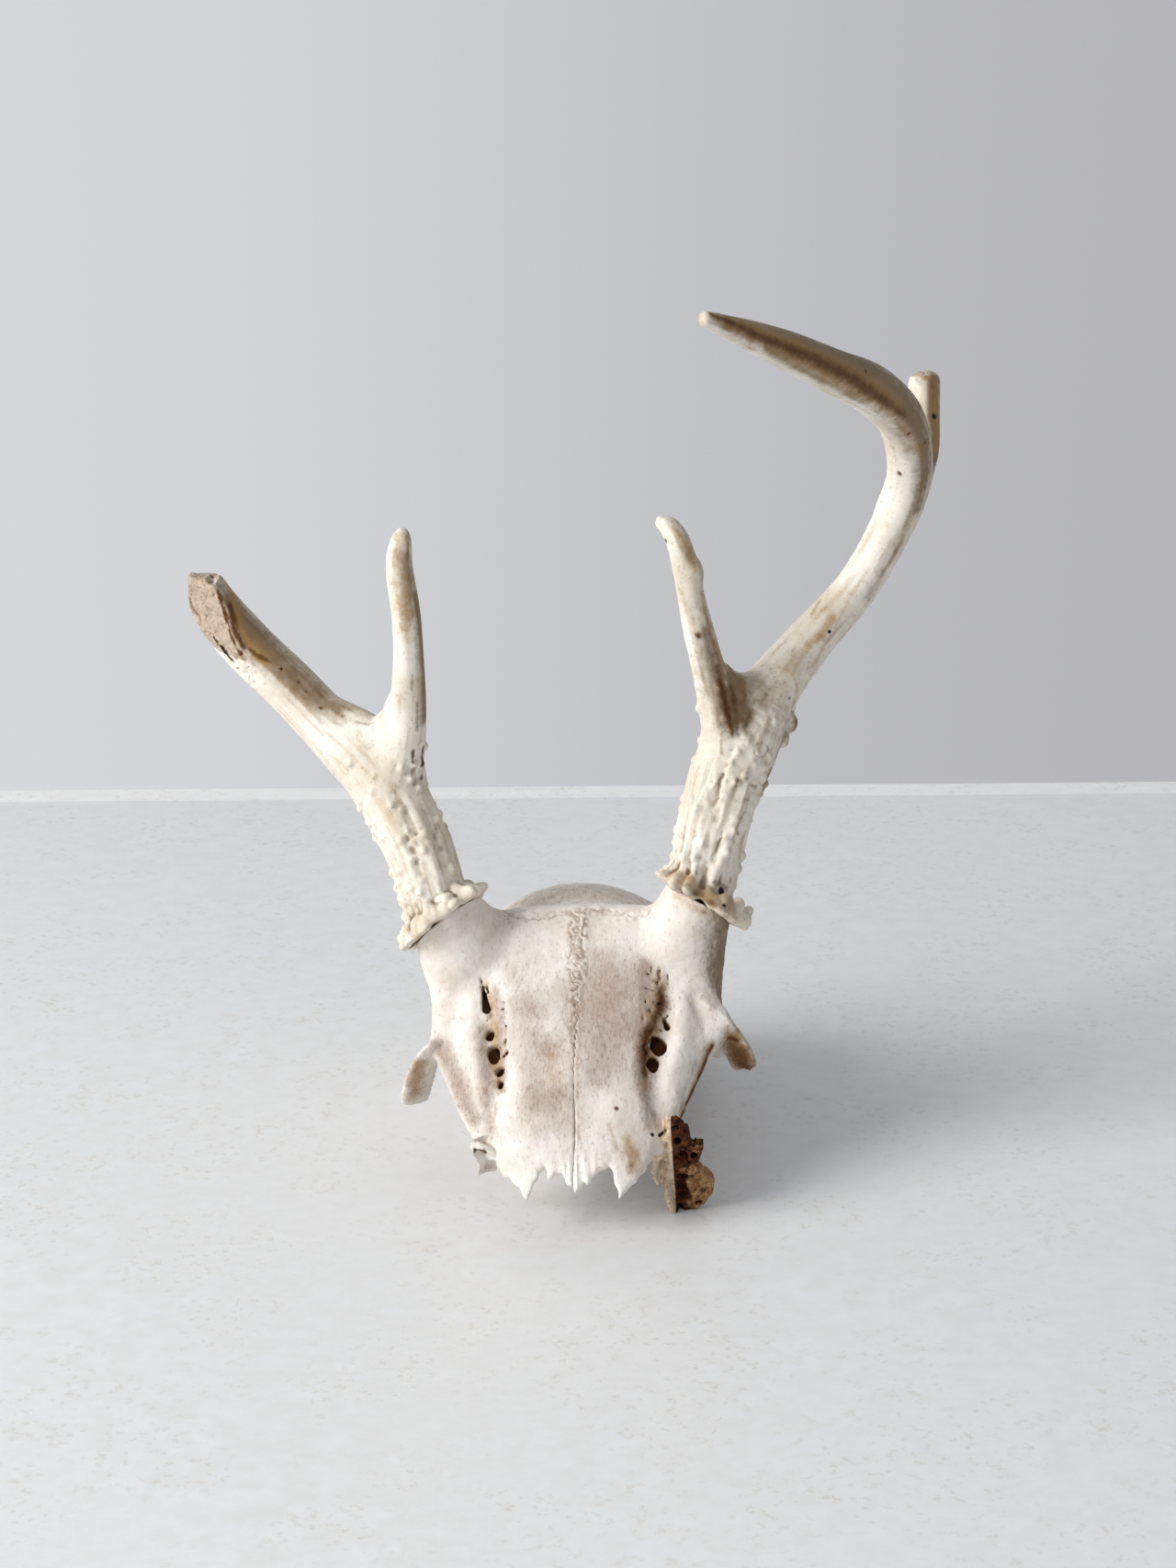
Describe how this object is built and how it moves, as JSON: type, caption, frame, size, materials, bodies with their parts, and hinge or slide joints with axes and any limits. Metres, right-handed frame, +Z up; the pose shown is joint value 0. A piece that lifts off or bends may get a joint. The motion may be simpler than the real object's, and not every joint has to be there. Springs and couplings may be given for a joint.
{
  "type": "deer skull with antlers",
  "caption": "Weathered deer brain case and forehead with a pair of antlers, one broken short; the face is gone in front of the eye sockets.",
  "frame": {"origin": "centre of the underside of the bounding box, on the surface the skull rests on", "axes": "+Z up; the forehead faces -Y, nose down; +X to the animal's left"},
  "size_m": [0.2334, 0.1834, 0.2854],
  "materials": {
    "skull_bone": "dry weathered bone, cream to greyish, faintly porous",
    "stained_bone": "dark brown stained spongy bone",
    "antler": "dry off-white antler with tan stains, ridged at the base"
  },
  "bodies": {
    "root": {"frontal_left": "skull_bone", "frontal_right": "skull_bone", "parietal": "skull_bone", "occipital": "skull_bone", "temporal_left": "skull_bone", "temporal_right": "skull_bone", "sphenoid": "skull_bone", "lacrimal_left": "stained_bone", "lacrimal_right": "skull_bone", "antler_left_base": "antler", "antler_left_brow_tine": "antler", "antler_left_beam": "antler", "antler_left_back_tine": "antler", "antler_left_beam_end": "antler", "antler_right_base": "antler", "antler_right_brow_tine": "antler", "antler_right_beam": "antler"}
  },
  "joints": []
}
